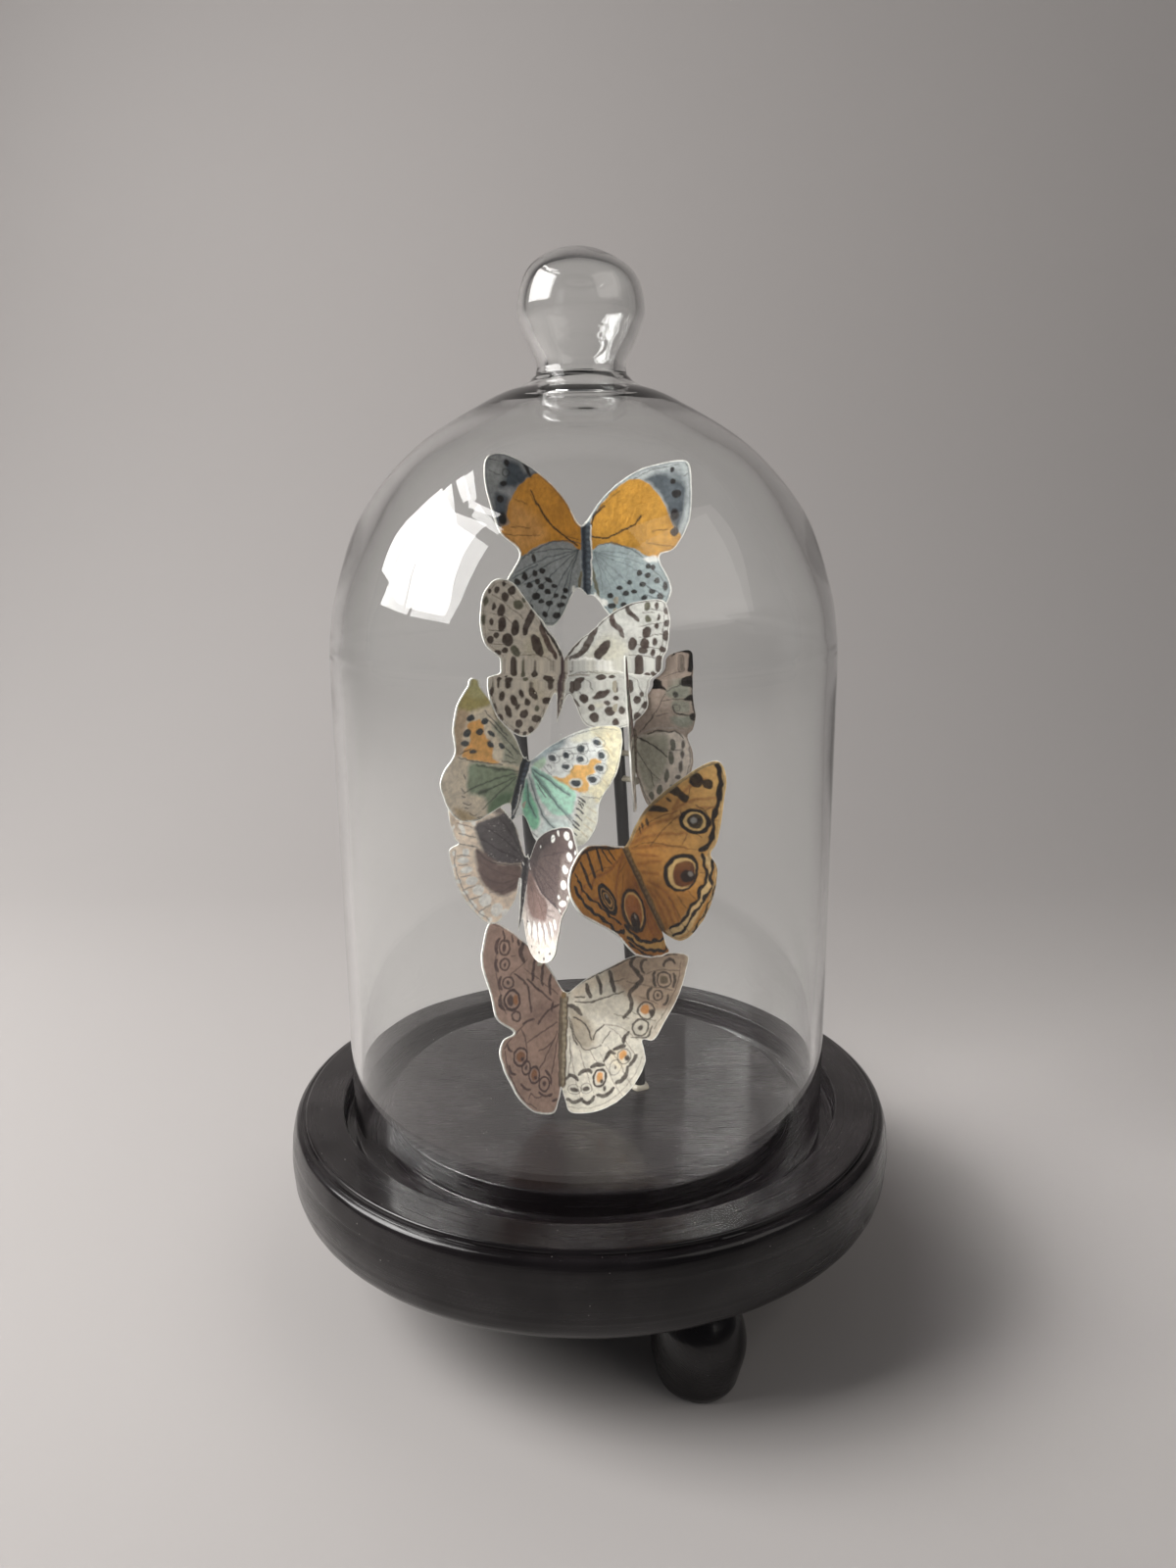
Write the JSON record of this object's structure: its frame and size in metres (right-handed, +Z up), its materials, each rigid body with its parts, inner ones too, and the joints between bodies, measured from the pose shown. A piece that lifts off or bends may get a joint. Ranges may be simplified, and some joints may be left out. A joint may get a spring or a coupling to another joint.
{
  "type": "paper butterfly display in a glass dome",
  "caption": "Clear glass dome with a hollow ball knob on a turned black base with bun feet, sheltering folded paper butterflies fixed to slim black rods.",
  "frame": {"origin": "on the floor, on the axis of the turned base, level with the flat bottoms of the feet", "axes": "+Z up along the axis of base, dome and knob; -Y is the front, the side the butterflies face; +X is to the right seen from the front"},
  "size_m": [0.1272, 0.1272, 0.2073],
  "materials": {
    "black_paint": "brushed gloss black paint on turned wood",
    "clear_glass": "clear blown glass, polished",
    "black_rod": "black stained stick, dull",
    "butterfly_1_paper": "matt printed paper, white cut edges",
    "butterfly_2_paper": "matt printed paper, white cut edges",
    "butterfly_3_paper": "matt printed paper, white cut edges",
    "butterfly_4_paper": "matt printed paper, white cut edges",
    "butterfly_5_paper": "matt printed paper, white cut edges",
    "butterfly_6_paper": "matt printed paper, white cut edges",
    "butterfly_7_paper": "matt printed paper, white cut edges"
  },
  "bodies": {
    "root": {"base": "black_paint", "foot_1": "black_paint", "foot_2": "black_paint", "foot_3": "black_paint", "glass_dome": "clear_glass", "rod_left": "black_rod", "rod_right": "black_rod", "butterfly_1": "butterfly_1_paper", "butterfly_2": "butterfly_2_paper", "butterfly_3": "butterfly_3_paper", "butterfly_4": "butterfly_4_paper", "butterfly_5": "butterfly_5_paper", "butterfly_6": "butterfly_6_paper", "butterfly_7": "butterfly_7_paper"}
  },
  "joints": []
}
